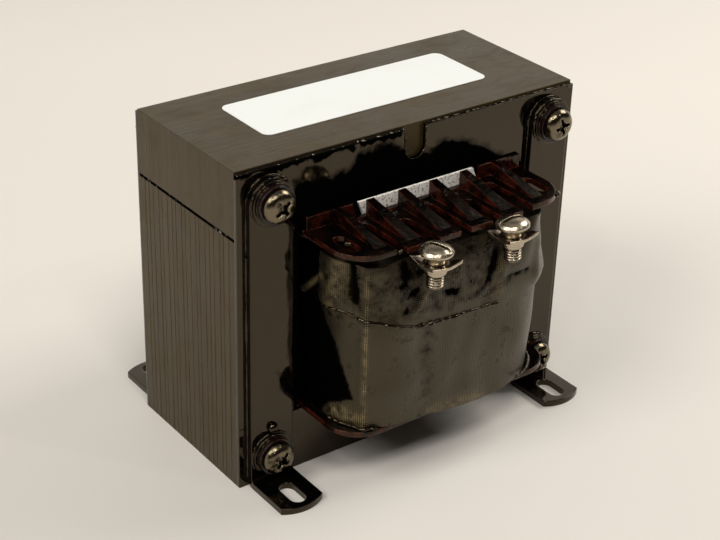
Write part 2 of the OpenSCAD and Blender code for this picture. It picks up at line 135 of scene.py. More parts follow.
class Nodes:
    """One shader tree, with short ways to add and join its nodes. Lengths are in millimetres."""

    def __init__(self, tree):
        self.tree = tree

    def add(self, kind, **values):
        """A node, with its own settings set by attribute and its sockets by name."""
        node = self.tree.nodes.new(kind)
        for key, value in values.items():
            if hasattr(node, key):
                setattr(node, key, value)
            else:
                node.inputs[key.replace("_", " ")].default_value = value
        return node

    def join(self, value, socket):
        """Gives a socket its value, which is another node's output, a number or a colour."""
        if isinstance(value, bpy.types.NodeSocket):
            self.tree.links.new(value, socket)
        elif isinstance(value, tuple):
            socket.default_value = (*value, 1)
        else:
            socket.default_value = value

    def paint(self, **looks):
        """Sets sockets of the Principled shader by name."""
        shader = self.tree.nodes["Principled BSDF"]
        for key, value in looks.items():
            self.join(value, shader.inputs[key.replace("_", " ")])

    def coordinates(self, scale=(1, 1, 1)):
        """Object coordinates in millimetres, scaled along each axis."""
        place = self.add("ShaderNodeTexCoord")
        mapping = self.add("ShaderNodeMapping")
        mapping.inputs["Scale"].default_value = [s / MM for s in scale]
        self.join(place.outputs["Object"], mapping.inputs["Vector"])
        return mapping.outputs["Vector"]

    def split(self, vector):
        """The X, Y and Z of a vector."""
        node = self.add("ShaderNodeSeparateXYZ")
        self.join(vector, node.inputs["Vector"])
        return node.outputs["X"], node.outputs["Y"], node.outputs["Z"]

    def noise(self, where, scale, detail=3.0, roughness=0.5, distortion=0.0):
        node = self.add("ShaderNodeTexNoise", Scale=scale, Detail=detail, Roughness=roughness)
        node.inputs["Distortion"].default_value = distortion
        self.join(where, node.inputs["Vector"])
        return node.outputs["Fac"]

    def ramp(self, value, low, high, a=0.0, b=1.0):
        """A value from low to high gives a to b, held outside that."""
        node = self.add("ShaderNodeMapRange", From_Min=low, From_Max=high, To_Min=a, To_Max=b)
        self.join(value, node.inputs["Value"])
        return node.outputs["Result"]

    def curve(self, value, table, reach, span):
        """The line through a table of (value, result), with its values in reach and results in span."""
        node = self.add("ShaderNodeFloatCurve")
        places = [(share(v, reach), share(result, span)) for v, result in table]
        points = node.mapping.curves[0].points
        points[0].location, points[1].location = places[0], places[-1]
        for place in places[1:-1]:
            points.new(*place)
        node.mapping.update()
        self.join(self.ramp(value, *reach), node.inputs["Value"])
        return self.ramp(node.outputs["Value"], 0.0, 1.0, *span)

    def calc(self, operation, a, b=0.0):
        node = self.add("ShaderNodeMath", operation=operation)
        self.join(a, node.inputs[0])
        self.join(b, node.inputs[1])
        return node.outputs[0]

    def plus(self, a, b):
        return self.calc("ADD", a, b)

    def minus(self, a, b):
        return self.calc("SUBTRACT", a, b)

    def times(self, a, b):
        return self.calc("MULTIPLY", a, b)

    def most(self, a, b):
        return self.calc("MAXIMUM", a, b)

    def mix(self, factor, a, b):
        """Colour a where the factor is 0, and b where it is 1."""
        node = self.add("ShaderNodeMix", data_type="RGBA")
        self.join(factor, node.inputs["Factor"])
        self.join(a, node.inputs[MIX_A])
        self.join(b, node.inputs[MIX_B])
        return node.outputs[MIX_RESULT]

    def bump(self, height, distance, normal=None):
        """The normal with a bump of that distance."""
        node = self.add("ShaderNodeBump", Strength=1.0, Distance=distance * MM)
        self.join(height, node.inputs["Height"])
        if normal is not None:
            self.join(normal, node.inputs["Normal"])
        return node.outputs["Normal"]

    def soft_edge(self, radius):
        """The normal with edges rounded over that radius."""
        return self.add("ShaderNodeBevel", Radius=radius * MM, samples=6).outputs["Normal"]

    def edges(self, radius):
        """0 on flat faces and up to 1 within that radius of an edge."""
        geometry = self.add("ShaderNodeNewGeometry")
        dot = self.add("ShaderNodeVectorMath", operation="DOT_PRODUCT")
        self.join(self.soft_edge(radius), dot.inputs[0])
        self.join(geometry.outputs["Normal"], dot.inputs[1])
        return self.ramp(dot.outputs["Value"], 0.98, 0.82)


def new_material(name):
    material = bpy.data.materials.new(name)
    material.use_nodes = True
    return material, Nodes(material.node_tree)


# Colours, in linear light

CORE_BROWN = (0.030, 0.021, 0.007)
CORE_PALE = (0.042, 0.029, 0.010)
CORE_LINE = (0.014, 0.009, 0.004)
CORE_PATCH = (0.018, 0.011, 0.005)
VARNISH_BLACK = (0.0012, 0.0011, 0.0010)
RUST = (0.007, 0.0035, 0.001)
MOULDING_BLACK = (0.0012, 0.0009, 0.0008)
MOULDING_DARK = (0.006, 0.002, 0.0014)
MOULDING_LIT_RED = (0.115, 0.019, 0.009)
PAPER = (0.93, 0.89, 0.84)
PAPER_SPECK = (0.30, 0.26, 0.24)
TAPE_BLACK = (0.0025, 0.002, 0.0012)
TAPE_BROWN = (0.007, 0.005, 0.0025)
TAPE_THREAD = (0.045, 0.032, 0.013)
GLINT_THREAD = (0.55, 0.42, 0.20)
BOARD_AND_SHADE_BLACK = (0.0008, 0.0008, 0.0007)
FIBRE_DARK = (0.003, 0.0014, 0.001)
FIBRE_RED = (0.014, 0.004, 0.0025)
NICKEL = (0.48, 0.41, 0.31)
NICKEL_DULL = (0.035, 0.027, 0.016)
NICKEL_RIM_HIGHLIGHT = (0.55, 0.47, 0.34)
DARK_NICKEL = (0.17, 0.14, 0.092)
DARK_NICKEL_DULL = (0.006, 0.005, 0.004)
LABEL_WHITE = (0.80, 0.83, 0.82)
LABEL_SOILED = (0.76, 0.78, 0.76)
WIRE_DARK = (0.010, 0.004, 0.002)
WIRE_COPPER = (0.035, 0.012, 0.005)
BOARD_BROWN = (0.003, 0.002, 0.0015)


# Materials

# Painted dark reflection: the front face is turned black, with its reflection off, up to this line, as
# measured: (x, z)
PATCH_TOP = [
    (-42.0, 87.0), (-39.9, 89.7), (-31.5, 89.2), (-21.8, 88.9), (-18.7, 92.3), (-10.5, 93.4),
    (-5.4, 91.6), (5.1, 88.5), (12.0, 88.9), (23.1, 84.9), (30.9, 80.0), (38.0, 77.0),
]
PATCH_REACH = (-60.0, 60.0)
PATCH_SPAN = (70.0, 100.0)

# It fades out over these reaches: at its sides, at its upper line, and in its strip along the ledge
PATCH_SIDE = (40.5, 39.0)
PATCH_BLUR = 1.2
STRIP_Z = (93.9, 94.5)
STRIP_X = (-4.0, -5.0)


def varnished_core():
    """Laminated steel under brown-black dip varnish: fine sheet lines, streaks and glossy pools."""
    material, nodes = new_material("core_varnish")
    where = nodes.coordinates()
    sheets = nodes.noise(nodes.coordinates((0.012, 1.0, 0.012)), 1.5, 5.0, 0.75)
    bands = nodes.noise(nodes.coordinates((0.006, 0.42, 0.006)), 1.0, 2.0)
    patches = nodes.noise(where, 0.07, 4.0)
    swirls = nodes.noise(nodes.coordinates((0.35, 1.0, 0.5)), 0.16, 4.0, distortion=2.5)
    grain = nodes.noise(where, 2.2)
    colour = nodes.mix(nodes.ramp(bands, 0.35, 0.65), CORE_BROWN, CORE_PALE)
    colour = nodes.mix(nodes.ramp(sheets, 0.32, 0.5, 0.3, 0.0), colour, CORE_LINE)
    colour = nodes.mix(nodes.ramp(patches, 0.45, 0.75, 0.0, 0.5), colour, CORE_PATCH)
    rough = nodes.plus(nodes.ramp(patches, 0.3, 0.7, 0.40, 0.26), nodes.ramp(swirls, 0.5, 0.62, 0.0, 0.06))
    height = nodes.plus(nodes.plus(sheets, nodes.times(grain, 0.25)), nodes.times(swirls, 0.45))
    nodes.paint(
        Base_Color=colour, Roughness=rough, IOR=1.37, Specular_Tint=(1.0, 0.76, 0.46),
        Normal=nodes.bump(height, 0.07, nodes.soft_edge(0.3)),
    )
    return material


def painted_dark_reflection(nodes, where):
    """1 where the front face is painted black with its reflection off, standing in for its dark reflection
    of the board and coil: over the coil, and in a strip along the ledge at the left.
    """
    x, _, z = nodes.split(where)
    top = nodes.curve(x, PATCH_TOP, PATCH_REACH, PATCH_SPAN)
    ragged = nodes.ramp(nodes.noise(where, 0.25), 0.3, 0.7, -PATCH_BLUR, PATCH_BLUR)
    below = nodes.ramp(nodes.plus(nodes.minus(top, z), ragged), -PATCH_BLUR, PATCH_BLUR)
    below = nodes.times(below, nodes.ramp(nodes.calc("ABSOLUTE", x), *PATCH_SIDE))
    strip = nodes.times(nodes.ramp(nodes.plus(z, ragged), *STRIP_Z), nodes.ramp(x, *STRIP_X))
    return nodes.most(below, strip)


def black_varnish(name, roughness, radius, waviness=0.22, dark_reflection=False):
    """Gloss black over steel, with a slow wave in the varnish, some rust and a little dust."""
    material, nodes = new_material(name)
    where = nodes.coordinates()
    wave = nodes.noise(where, 0.05, 2.0)
    orange_peel = nodes.noise(where, 0.9, 2.0)
    dust = nodes.noise(where, 3.5, 2.0)
    smear = nodes.noise(where, 0.09, 4.0)
    rust = nodes.ramp(nodes.noise(where, 0.30, 4.0, 0.6), 0.58, 0.70)
    if dark_reflection:
        # Painted dark reflection: under this mask the reflection and the rust are turned off.
        clear = nodes.minus(1.0, painted_dark_reflection(nodes, where))
        rust = nodes.times(rust, clear)
        nodes.paint(Specular_IOR_Level=nodes.times(clear, 0.5))
    rough = nodes.ramp(smear, 0.5, 0.8, roughness, roughness + 0.08)
    rough = nodes.plus(rough, nodes.ramp(dust, 0.68, 0.74, 0.0, 0.15))
    rough = nodes.plus(rough, nodes.times(rust, 0.12))
    height = nodes.plus(wave, nodes.times(orange_peel, 0.03))
    nodes.paint(
        Base_Color=nodes.mix(rust, VARNISH_BLACK, RUST), Roughness=rough, IOR=1.55,
        Specular_Tint=(1.0, 0.78, 0.50), Normal=nodes.bump(height, waviness, nodes.soft_edge(radius)),
    )
    return material


def red_moulding():
    """Dark moulding under varnish: near black on the flats, with painted light shining red through the thin
    moulding at its edges and upright walls.
    """
    material, nodes = new_material("moulding")
    where = nodes.coordinates()
    cloud = nodes.noise(where, 0.16)
    colour = nodes.mix(nodes.ramp(cloud, 0.45, 0.7), MOULDING_BLACK, MOULDING_DARK)
    _, _, facing = nodes.split(nodes.add("ShaderNodeNewGeometry").outputs["Normal"])
    upright = nodes.ramp(nodes.calc("ABSOLUTE", facing), 0.35, 0.15)
    # Painted light: red where light shines through the thin moulding, at edges and upright walls, in
    # patches.
    thin = nodes.most(nodes.times(nodes.edges(0.55), 0.75), nodes.times(upright, 0.30))
    lit_patches = nodes.ramp(nodes.noise(where, 0.24, 4.0, 0.6), 0.42, 0.60)
    nodes.paint(
        Base_Color=nodes.mix(nodes.times(thin, lit_patches), colour, MOULDING_LIT_RED), IOR=1.38,
        Roughness=nodes.ramp(nodes.noise(where, 0.3), 0.3, 0.7, 0.08, 0.22), Specular_Tint=(1.0, 0.85, 0.62),
        Normal=nodes.bump(nodes.noise(where, 0.35, 2.0), 0.3, nodes.soft_edge(0.5)),
    )
    return material


def speckled_paper():
    material, nodes = new_material("insulating_paper")
    specks = nodes.noise(nodes.coordinates(), 1.3, 2.0, 0.7)
    colour = nodes.mix(nodes.ramp(specks, 0.54, 0.62), PAPER, PAPER_SPECK)
    nodes.paint(Base_Color=colour, Roughness=0.55, Normal=nodes.bump(specks, 0.06))
    return material


def weave(nodes):
    """The tape's crossed threads, up to 1 where both are at their highest."""
    threads = nodes.add("ShaderNodeUVMap", uv_map="tape").outputs["UV"]
    crossed = []
    for direction in ("X", "Y"):
        wave = nodes.add(
            "ShaderNodeTexWave", wave_type="BANDS", bands_direction=direction,
            Scale=0.55, Distortion=0.6, Detail=1.0, Detail_Scale=0.6,
        )
        nodes.join(threads, wave.inputs["Vector"])
        crossed.append(wave.outputs["Fac"])
    return nodes.times(*crossed)


def ring_marks(nodes, where):
    """Rings that drops of varnish have left, in some places only."""
    spots = nodes.add("ShaderNodeTexVoronoi", feature="F1", Scale=0.27)
    nodes.join(where, spots.inputs["Vector"])
    away = spots.outputs["Distance"]
    ring = nodes.times(nodes.ramp(away, 0.16, 0.22), nodes.ramp(away, 0.34, 0.27))
    return nodes.times(ring, nodes.ramp(nodes.noise(where, 0.06, 2.0), 0.52, 0.60))


def woven_tape():
    """Glass cloth soaked in black varnish: glossy and nearly black, with the threads in its highlights,
    painted shade as flat black without reflection, and painted highlights as pale threads.
    """
    material, nodes = new_material("varnished_tape")
    where = nodes.coordinates()
    cloth = weave(nodes)
    marks = ring_marks(nodes, where)
    glint = nodes.add("ShaderNodeAttribute", attribute_name="painted_glint").outputs["Fac"]
    shade_mask = nodes.add("ShaderNodeAttribute", attribute_name="painted_shade").outputs["Fac"]
    cloud = nodes.noise(where, 0.10, 4.0)
    blots = nodes.ramp(nodes.noise(where, 0.22, 3.0, 0.6), 0.60, 0.68)
    dry = nodes.ramp(nodes.noise(where, 0.05), 0.42, 0.62, 0.1, 0.5)
    # Painted highlights: pale threads in patches where the glint mask is set.
    lit_patches = nodes.times(nodes.times(glint, cloth), nodes.ramp(nodes.noise(where, 0.4), 0.35, 0.6))
    colour = nodes.mix(nodes.ramp(cloud, 0.35, 0.7), TAPE_BLACK, TAPE_BROWN)
    colour = nodes.mix(nodes.times(cloth, dry), colour, TAPE_THREAD)
    colour = nodes.mix(lit_patches, colour, GLINT_THREAD)
    # Painted shade: flat black where the shade mask is set.
    colour = nodes.mix(shade_mask, colour, BOARD_AND_SHADE_BLACK)
    rough = nodes.plus(nodes.ramp(cloud, 0.3, 0.7, 0.24, 0.36), nodes.times(cloth, 0.08))
    rough = nodes.minus(rough, nodes.times(blots, 0.12))
    height = nodes.plus(nodes.times(cloth, 1.2), nodes.times(cloud, 5.0))
    height = nodes.minus(height, nodes.times(marks, 1.6))
    ragged = nodes.ramp(nodes.noise(where, 0.35, 3.0, 0.55), 0.3, 0.7, -0.25, 0.25)
    # Painted shade also turns the reflection off.
    level = nodes.ramp(nodes.plus(shade_mask, ragged), 0.25, 0.75, 0.5, 0.0)
    level = nodes.minus(level, nodes.times(blots, 0.22))
    level = nodes.minus(level, nodes.times(marks, 0.14))
    nodes.paint(
        Base_Color=colour, Roughness=rough, IOR=1.62, Specular_IOR_Level=nodes.most(level, 0.0),
        Specular_Tint=(1.0, 0.84, 0.56), Normal=nodes.bump(height, 0.05),
    )
    return material


def red_fibre():
    """Layered red-brown fibre, darkened by varnish."""
    material, nodes = new_material("fibre")
    layers = nodes.noise(nodes.coordinates((1, 3, 1)), 0.8)
    nodes.paint(
        Base_Color=nodes.mix(layers, FIBRE_DARK, FIBRE_RED), Roughness=0.14, IOR=1.42,
        Normal=nodes.bump(layers, 0.15, nodes.soft_edge(0.3)),
    )
    return material


def plated(name, bright, dull, roughness, grime, rounding, rim_highlight):
    """Nickel plate with fine scratches and stains, and its low places darkened by occlusion: painted shade,
    together with varnish that has run there.
    """
    material, nodes = new_material(name)
    scratches = nodes.noise(nodes.coordinates((1.0, 6.0, 6.0)), 1.1, 2.0)
    stains = nodes.noise(nodes.coordinates(), 0.35)
    recess = nodes.add("ShaderNodeAmbientOcclusion", Distance=1.3 * MM, samples=8)
    # Painted shade, and varnish run into the low places: recesses found by occlusion turn dull.
    deep = nodes.ramp(recess.outputs["AO"], 0.80, 0.40)
    stains_and_shade = nodes.most(nodes.ramp(stains, 0.66 - grime, 0.80 - grime, 0.0, 0.7), deep)
    # Painted highlight: edges paler, strongest on the bolts' rims.
    colour = nodes.mix(nodes.times(nodes.edges(0.35), rim_highlight), bright, NICKEL_RIM_HIGHLIGHT)
    height = nodes.plus(scratches, nodes.times(stains, 1.5))
    nodes.paint(
        Base_Color=nodes.mix(stains_and_shade, colour, dull), Metallic=1.0,
        Roughness=nodes.ramp(stains, 0.4, 0.8, roughness, roughness + 0.12),
        Normal=nodes.bump(height, 0.02, nodes.soft_edge(rounding)),
    )
    return material


def satin_label():
    material, nodes = new_material("label_film")
    where = nodes.coordinates()
    soil = nodes.ramp(nodes.noise(where, 0.05, 4.0), 0.5, 0.8)
    nodes.paint(
        Base_Color=nodes.mix(soil, LABEL_WHITE, LABEL_SOILED), Roughness=0.42,
        Normal=nodes.bump(nodes.noise(where, 1.2), 0.015),
    )
    return material


def copper_wire():
    material, nodes = new_material("winding_wire")
    wave = nodes.add("ShaderNodeTexWave", wave_type="BANDS", bands_direction="Z", Scale=0.25)
    nodes.join(nodes.coordinates(), wave.inputs["Vector"])
    turns = wave.outputs["Fac"]
    nodes.paint(
        Base_Color=nodes.mix(turns, WIRE_DARK, WIRE_COPPER), Roughness=0.3, Normal=nodes.bump(turns, 0.3),
    )
    return material


def gap_board():
    """Board soaked black, with a bead of varnish that glints here and there along the seam."""
    material, nodes = new_material("gap_board")
    where = nodes.coordinates()
    nodes.paint(
        Base_Color=nodes.mix(nodes.noise(where, 1.5, 4.0), BOARD_AND_SHADE_BLACK, BOARD_BROWN), Roughness=0.12,
        Specular_IOR_Level=nodes.ramp(nodes.noise(where, 0.7, 2.0), 0.64, 0.68),
        Normal=nodes.bump(nodes.noise(where, 1.1, 2.0), 1.2),
    )
    return material


def dress_nodes():
    """Gives every node of the part its material."""
    core = varnished_core()
    face = black_varnish("face_varnish", roughness=0.06, radius=0.4)
    front = black_varnish("front_varnish", roughness=0.06, radius=0.4, dark_reflection=True)
    strap = black_varnish("strap_varnish", roughness=0.05, radius=0.5)
    bright = plated("bright_nickel", NICKEL, NICKEL_DULL, roughness=0.20, grime=0.05, rounding=0.5, rim_highlight=0.3)
    dark = plated(
        "dark_nickel", DARK_NICKEL, DARK_NICKEL_DULL, roughness=0.10, grime=0.08, rounding=1.0, rim_highlight=0.8,
    )
    fibre = red_fibre()
    paper = speckled_paper()
    pad = gap_board()
    looks = {
        "e_stack": core, "i_stack": core,
        "keeper_e_front": front, "keeper_i_front": face,
        "keeper_e_rear": face, "keeper_i_rear": face,
        "gap_pad_left": pad, "gap_pad_centre": pad, "gap_pad_right": pad,
        "bolt_sleeves": fibre, "fibre_washers": fibre,
        "bobbin": red_moulding(),
        "leg_paper_front": paper, "leg_paper_rear": paper,
        "winding": copper_wire(),
        "terminal_lug_left": bright, "terminal_lug_right": bright,
        "pressure_plates": bright, "terminal_screws": bright,
        "bracket_front_left": strap, "bracket_front_right": strap,
        "bracket_rear_left": strap, "bracket_rear_right": strap,
        "flat_washers": strap,
        "core_bolts": dark, "core_nuts": dark,
        "label": satin_label(),
    }
    for name, material in looks.items():
        slots = NODES[name].data.materials
        slots.clear()
        slots.append(material)
    return core


# The taped coil

# Places on the coil are (a, z) in millimetres. a runs round the coil from the middle of the front
# and is plus to the right. These are its values where the front, the corner, the side and the rear
# corner end, and at the middle of the rear.
FLAT_A = COIL_HW - COIL_R
ARC_A = FLAT_A + COIL_R * math.pi / 2
SIDE_A = ARC_A + 2 * (COIL_Y - COIL_R)
REAR_A = SIDE_A + COIL_R * math.pi / 2
HALF_A = REAR_A + FLAT_A

# Points round the coil, and rows of faces up each of its two bands
COLUMNS = 340
WRAP_ROWS = 54
BAND_ROWS = 24

# Ridges and valleys pulled into the tape: from (a, z) to (a, z), half width and height
FOLDS = [
    ((-31.0, 58), (-31.0, 21), 2.2, 1.3),
    ((-31.0, 71), (-31.0, 57), 1.6, 0.8),
    ((-41.0, 72), (-43.0, 56), 3.0, 0.8),
    ((-15.5, 49), (-12.5, 31), 3.0, -0.45),
    ((-12.5, 31), (-10.5, 20), 2.5, -0.35),
    ((-14.0, 60), (-17.0, 56), 0.9, 0.45),
    ((5.0, 58), (10.2, 65.5), 2.2, -0.75),
    ((13.2, 61), (11.5, 53), 1.4, 0.5),
    ((-19.5, 68), (-18.0, 60), 2.5, -0.6),
    ((-6.5, 59), (-3.5, 57), 2.0, -0.5),
    ((-4.8, 66), (3.5, 66.5), 3.0, 0.35),
    ((14.0, 57), (24.0, 56.0), 1.6, -0.5),
    ((28.0, 62), (26.0, 52.0), 2.0, 0.6),
    ((-35.5, 69), (-34.0, 60), 1.8, -0.5),
]

# Painted shade: black streaks in the dents, where the tape mirrors the dark room: from (a, z) to (a, z),
# half width and strength
SHADE_STREAKS = [
    ((-19.5, 69), (-19.5, 67), 1.8, 1.0),
    ((-20.5, 63), (-16.5, 60.5), 2.6, 0.8),
    ((-20.0, 57), (-20.5, 56), 1.0, 0.8),
    ((-7.5, 58.5), (-3.5, 57), 1.7, 0.9),
    ((10.8, 65), (8.0, 58), 1.5, 1.0),
    ((6.0, 55.5), (4.0, 54.5), 1.5, 0.8),
    ((15.0, 56.6), (23.0, 56.2), 1.1, 0.75),
    ((-35.0, 70), (-34.0, 60), 1.6, 1.0),
    ((-11.0, 49), (-12.5, 22), 3.2, 0.35),
]

# Painted highlights: pale weave threads where the light catches the creases and edges that the tape is
# pulled over, in the same form
THREAD_GLINTS = [
    ((-31.0, 68), (-31.0, 21), 0.6, 0.8),
    ((-39.0, 70), (-41.5, 58), 3.0, 0.8),
    ((-44.0, 55), (-33.0, 55.5), 1.5, 0.6),
    ((-44.0, 24), (-34.0, 23), 2.6, 1.0),
    ((-13.0, 60.5), (-17.0, 55.5), 0.8, 1.0),
    ((-10.0, 21.5), (8.0, 20.5), 1.6, 0.6),
    ((12.0, 62), (11.0, 53), 1.0, 0.5),
    ((-54.4, 55), (-45.6, 63.5), 0.9, 0.9),
]

# A painted reflection on the side of the tape at the left, kept clear of the painted shade, in the same form
SIDE_REFLECTION = [((-54.4, 55), (-45.6, 63.5), 0.9, 1.0)]

# Painted shade: to the left of this line the wrap is black: (z, a)
BLACK_EDGE = [
    (20.0, -46.0), (25.0, -42.0), (29.0, -34.0), (37.0, -37.6),
    (45.0, -40.4), (50.0, -44.5), (58.0, -47.0), (72.0, -46.0),
]

# The painted shade is black to the right of this place too, and at the rear both fade out
BLACK_RIGHT = 46.0
BLACK_REAR = 82.0

# A thin painted dark reflection of the room lies above this height and to the left of this place
MIRRORED_ROOM_LOW = 50.5
MIRRORED_ROOM_RIGHT = 24.0

# Painted shade under the band's lower edge: the overlap is black over this half width, and to the left of
# this place
SEAM_HW = 0.7
SEAM_RIGHT = 14.0

# The lower edge of the outer band, as measured: (a, z)
BAND_EDGE = [
    (-HALF_A, 52.0), (-60.0, 54.0), (-46.2, 55.4), (-38.7, 55.9), (-34.3, 55.4),
    (-28.0, 53.9), (-22.6, 52.6), (-16.5, 50.9), (-10.8, 50.3), (-3.3, 50.0),
    (6.6, 49.6), (18.7, 49.7), (30.0, 49.2), (45.0, 49.0), (HALF_A, 52.0),
]

# The band stands off the front right corner: (z, lift)
CORNER_A = 33.0
CORNER_WIDTH = 9.0
CORNER_BULGE = [
    (0.0, 1.0), (49.0, 1.0), (50.5, 1.9), (53.0, 2.6),
    (56.0, 2.0), (59.0, 1.2), (64.0, 0.6), (71.0, 0.0),
]

# How far the front of the wrap hangs below the coil, past the flange's edge: (a, drop)
HEM = [
    (-HALF_A, 0.0), (-18.0, 0.0), (-10.0, 0.5), (0.0, 1.2),
    (14.0, 1.5), (19.0, 0.9), (24.0, 0.0), (HALF_A, 0.0),
]

# Slow waves in the tape where it is clear of the core: height, length along a and z, and seed
WAVES = [
    (0.75, 17, 15, 0),
    (0.3, 6, 9, 5),
]

# Folds and waves come in over this distance from the core's face
WAVE_START = 9.0

# Dents in the tape stop short of the winding below it
SLACK_IN = 0.6

# The tape's front stands this far off the crown below it, with the bend rounded over this length
CROWN_CLEAR = 0.2
CROWN_BEND = 0.8


def between(table, a):
    """Straight-line reading of a table of (a, value)."""
    for (a0, v0), (a1, v1) in zip(table, table[1:]):
        if a <= a1:
            return v0 + (v1 - v0) * (a - a0) / (a1 - a0)
    return table[-1][1]


def clamp(value, low, high):
    return min(max(value, low), high)


def smooth(t):
    t = clamp(t, 0.0, 1.0)
    return t * t * (3 - 2 * t)


def wobble(x, y, z):
    """Smooth noise at a place, from about -1 to 1."""
    return noise.noise(Vector((x, y, z)))


def outline(a):
    """(x, y, outward x, outward y) of the coil's outline at a, with the front at -y."""
    side = 1 if a >= 0 else -1
    s = abs(a)
    if s <= FLAT_A:
        return side * s, -COIL_Y, 0.0, -1.0
    if s <= ARC_A:
        t = (s - FLAT_A) / COIL_R
        nx, ny = math.sin(t), -math.cos(t)
        return side * (FLAT_A + COIL_R * nx), COIL_R - COIL_Y + COIL_R * ny, side * nx, ny
    if s <= SIDE_A:
        return side * COIL_HW, s - ARC_A + COIL_R - COIL_Y, side * 1.0, 0.0
    if s <= REAR_A:
        t = (s - SIDE_A) / COIL_R
        nx, ny = math.cos(t), math.sin(t)
        return side * (FLAT_A + COIL_R * nx), COIL_Y - COIL_R + COIL_R * ny, side * nx, ny
    return side * (HALF_A - s), COIL_Y, 0.0, 1.0


def crown_reach(z):
    """How far the front and rear lie from the middle at height z."""
    up = max(z - CROWN_Z, 0)
    return COIL_Y - CROWN_R + math.sqrt(CROWN_R ** 2 - up ** 2)


def soft_least(a, b, width):
    """The lesser of two lengths, with the corner between them rounded over that width."""
    t = max(width - abs(a - b), 0.0) / width
    return min(a, b) - t * t * width / 4


def near(table, a, z, power):
    """The sum of the strokes in a table at (a, z), each fading out over its half width."""
    total = 0.0
    for (a0, z0), (a1, z1), width, height in table:
        da, dz = a1 - a0, z1 - z0
        t = clamp(((a - a0) * da + (z - z0) * dz) / (da * da + dz * dz), 0, 1)
        gap = math.hypot(a - a0 - t * da, z - z0 - t * dz)
        if gap < 4 * width:
            total += height * math.exp(-(gap / width) ** power)
    return total


def painted_shade(a, z):
    """How much painted shade the tape has, from 0 to 1: at both sides, in its streaks, where it mirrors the
    dark room and at the overlap.
    """
    sides = 1 - 0.7 * smooth((abs(a) - BLACK_REAR) / 30)
    left = sides * smooth((between(BLACK_EDGE, z) - a) / 2.5 + 0.5)
    right = sides * smooth((a - BLACK_RIGHT) / 4)
    mirrored_room = 0.42 * smooth((z - MIRRORED_ROOM_LOW) / 4) * smooth((MIRRORED_ROOM_RIGHT - a) / 14)
    seam = math.exp(-((z - between(BAND_EDGE, a)) / SEAM_HW) ** 2) * smooth((SEAM_RIGHT - a) / 12)
    black = min(max(left, right, near(SHADE_STREAKS, a, z, 2.4), mirrored_room, seam), 1.0)
    return black * (1 - min(near(SIDE_REFLECTION, a, z, 2.4), 1.0))


def painted_glint(a, z):
    """How much painted highlight the weave threads have, from 0 to 1."""
    return min(near(THREAD_GLINTS, a, z, 2), 1.0)


def tape_point(a, z, lift):
    """A point of the tape's surface: the coil's outline, drawn in at the top, with folds and slack."""
    x, y, nx, ny = outline(a)
    pull = 0.0
    if abs(y) > FACE_Y:
        pull = abs(y) - soft_least(abs(y), crown_reach(z) + CROWN_CLEAR, CROWN_BEND)
    outside = smooth((abs(y) - FACE_Y) / WAVE_START)
    slack = sum(height * wobble(a / wide, z / tall, seed) for height, wide, tall, seed in WAVES)
    r = lift + max((near(FOLDS, a, z, 1.5) + slack) * outside, -SLACK_IN)
    return Vector((x + nx * r, min(y - math.copysign(pull, y) + ny * r, COIL_Y), z))


def new_object(name, points, faces):
    """An object from points in millimetres, in the frame's place."""
    mesh = bpy.data.meshes.new(name)
    mesh.from_pydata([(x * MM, (y + SHIFT_Y) * MM, z * MM) for x, y, z in points], [], faces)
    piece = bpy.data.objects.new(name, mesh)
    bpy.context.scene.collection.objects.link(piece)
    return piece


def smooth_faces(mesh):
    for face in mesh.polygons:
        face.use_smooth = True


def tape_faces(rows, inside):
    """The faces of a closed band: rows of COLUMNS points, with its inner face's points from inside on."""
    faces = []
    for j in range(rows):
        for i in range(COLUMNS):
            p, q = j * COLUMNS + i, j * COLUMNS + (i + 1) % COLUMNS
            faces.append((p, q, q + COLUMNS, p + COLUMNS))
            faces.append((inside + q, inside + p, inside + p + COLUMNS, inside + q + COLUMNS))
    top = rows * COLUMNS
    for i in range(COLUMNS):
        p, q = i, (i + 1) % COLUMNS
        faces.append((q, p, inside + p, inside + q))
        faces.append((top + p, top + q, inside + top + q, inside + top + p))
    return faces


def build_tape(name, rows, low, high, lift, thick, fold=()):
    """A closed band round the coil, from height low(a) to high(a), standing lift(a, z) off it.

    fold lists how far in each further row lies on top of the coil.
    """
    outer, inner, places = [], [], []
    for j in range(rows + 1):
        for i in range(COLUMNS):
            a = -HALF_A + 2 * HALF_A * i / COLUMNS
            z = low(a) + (high(a) - low(a)) * j / rows
            below = min(z, high(a) - thick) if fold else z
            outer.append(tape_point(a, z, lift(a, z)))
            inner.append(tape_point(a, below, lift(a, z) - thick))
            places.append((a, z))
    for inward in fold:
        for i in range(COLUMNS):
            a = -HALF_A + 2 * HALF_A * i / COLUMNS
            z = high(a)
            outer.append(tape_point(a, z, lift(a, z) - inward))
            inner.append(tape_point(a, z - thick, lift(a, z) - max(inward, thick)))
            places.append((a, z + inward))
    piece = new_object(name, outer + inner, tape_faces(rows + len(fold), len(outer)))
    mesh = piece.data
    threads = mesh.uv_layers.new(name="tape")
    for loop in mesh.loops:
        threads.data[loop.index].uv = places[loop.vertex_index % len(outer)]
    for key, look in (("painted_shade", painted_shade), ("painted_glint", painted_glint)):
        values = mesh.attributes.new(key, "FLOAT", "POINT")
        for k, value in enumerate(values.data):
            value.value = look(*places[k % len(outer)])
    smooth_faces(mesh)
    mesh.set_sharp_from_angle(angle=math.radians(50))
    return piece


def right_corner(a):
    return math.exp(-((a - CORNER_A) / CORNER_WIDTH) ** 2)


def wrap_low(a):
    """The wrap's lower edge, a little ragged."""
    return COIL_BOTTOM - between(HEM, a) + 0.15 * (1 + wobble(a / 5, 3, 1))


def wrap_high(a):
    """The wrap's upper edge, which is level all round."""
    return TAPE_TOP - 0.3


